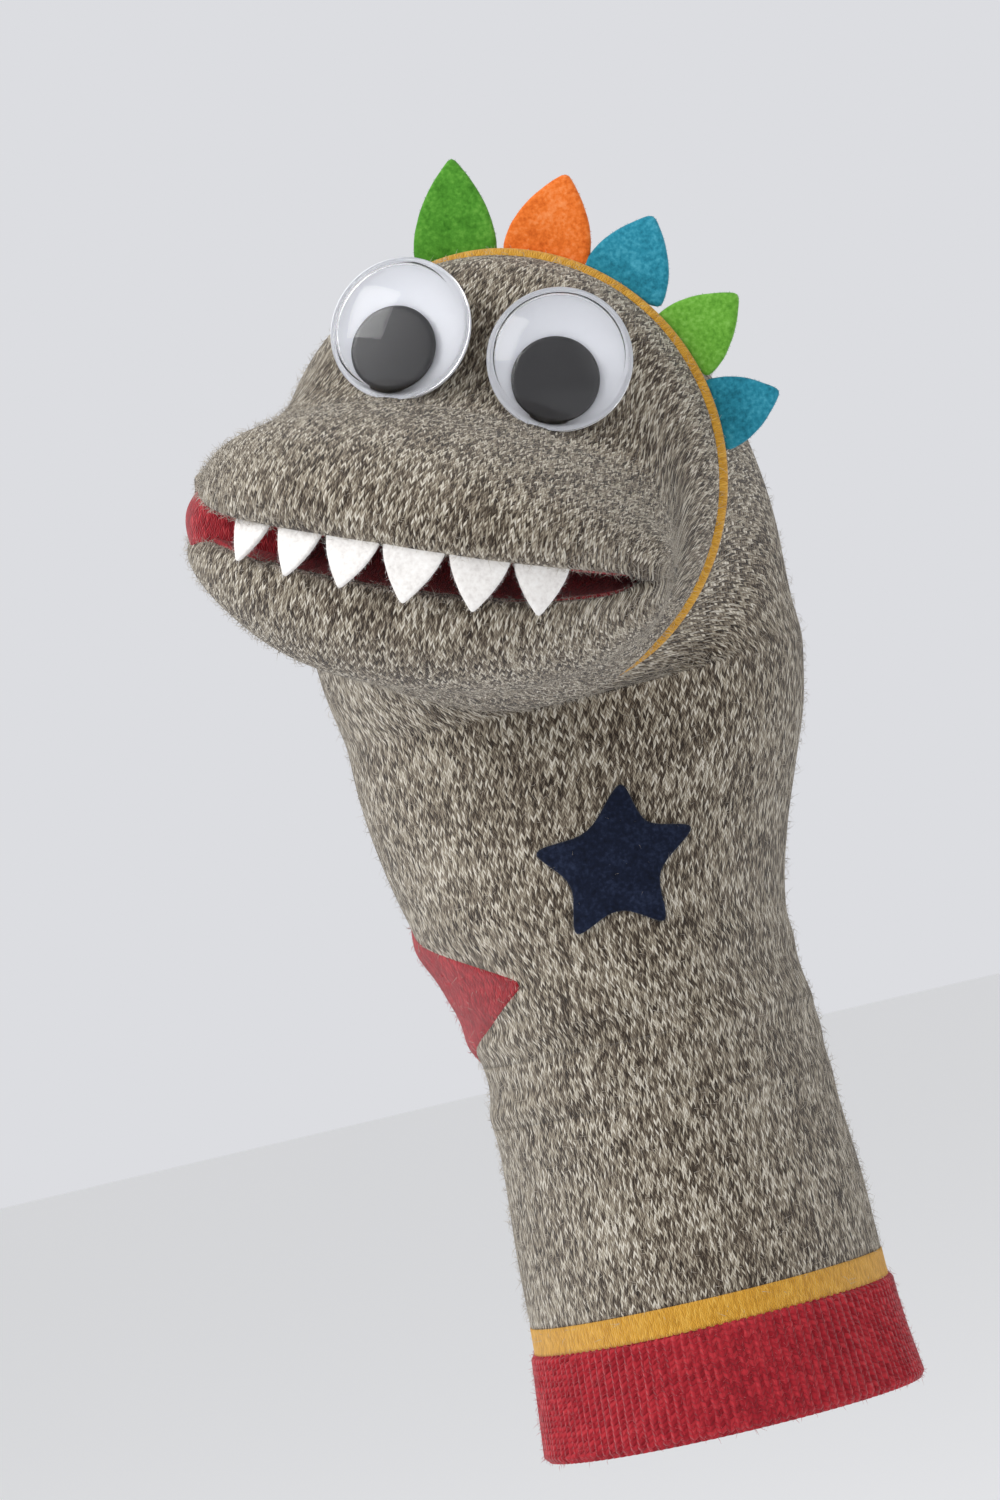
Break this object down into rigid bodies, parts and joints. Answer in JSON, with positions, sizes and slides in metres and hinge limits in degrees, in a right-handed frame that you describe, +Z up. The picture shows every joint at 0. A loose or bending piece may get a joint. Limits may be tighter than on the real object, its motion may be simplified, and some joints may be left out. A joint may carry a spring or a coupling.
{
  "type": "sock puppet",
  "caption": "Hand puppet sewn from a knitted sock, with googly eyes, a tucked-in mouth with felt teeth, and felt spikes and star.",
  "frame": {"origin": "middle of the cuff's opening, where the hand goes in", "axes": "+Z up the forearm to the head, -Y the way the puppet looks, +X the puppet's left"},
  "size_m": [0.0942, 0.1169, 0.228],
  "materials": {
    "marl_knit": "matt",
    "red_rib": "matt",
    "red_knit": "matt",
    "mustard_knit": "matt",
    "white_felt": "matt",
    "green_felt": "matt",
    "orange_felt": "matt",
    "teal_felt": "matt",
    "light_green_felt": "matt",
    "navy_felt": "matt",
    "white_plastic": "gloss",
    "black_plastic": "gloss",
    "clear_plastic": "gloss"
  },
  "bodies": {
    "leg": {"cuff": "red_rib", "cuff_band": "mustard_knit", "leg_sleeve": "marl_knit"},
    "wrist": {"wrist_sleeve": "marl_knit"},
    "jaw": {"lower_jaw": "marl_knit", "mouth_floor": "red_knit"},
    "left_disc": {"left_pupil": "black_plastic"},
    "right_disc": {"right_pupil": "black_plastic"},
    "head": {"neck_sleeve": "marl_knit", "head_top": "marl_knit", "head_stripe": "mustard_knit", "heel_patch": "red_knit", "mouth_roof": "red_knit", "tooth_1": "white_felt", "tooth_2": "white_felt", "tooth_3": "white_felt", "tooth_4": "white_felt", "tooth_5": "white_felt", "tooth_6": "white_felt", "spike_1": "green_felt", "spike_2": "orange_felt", "spike_3": "teal_felt", "spike_4": "light_green_felt", "spike_5": "teal_felt", "star": "navy_felt", "left_eye_back": "white_plastic", "left_dome": "clear_plastic", "right_eye_back": "white_plastic", "right_dome": "clear_plastic"}
  },
  "joints": [
    {"name": "wrist_lean", "type": "hinge", "parent": "leg", "child": "wrist", "pos_m": [0, 0, 0.064], "axis": [0, 1, 0], "range_deg": [-18, 18]},
    {"name": "wrist_nod", "type": "hinge", "parent": "wrist", "child": "head", "pos_m": [0, 0, 0.064], "axis": [1, 0, 0], "range_deg": [-20, 25]},
    {"name": "jaw_hinge", "type": "hinge", "parent": "head", "child": "jaw", "pos_m": [-0.00569, -0.05, 0.15721], "axis": [0.9135, 0, -0.4067], "range_deg": [-13, 25]},
    {"name": "left_pupil_roll", "type": "hinge", "parent": "head", "child": "left_disc", "pos_m": [0.02261, -0.04525, 0.18595], "axis": [0.2371, -0.9583, 0.1593], "continuous": true},
    {"name": "right_pupil_roll", "type": "hinge", "parent": "head", "child": "right_disc", "pos_m": [-0.00328, -0.04525, 0.19747], "axis": [-0.0403, -0.9583, 0.2827], "continuous": true}
  ]
}
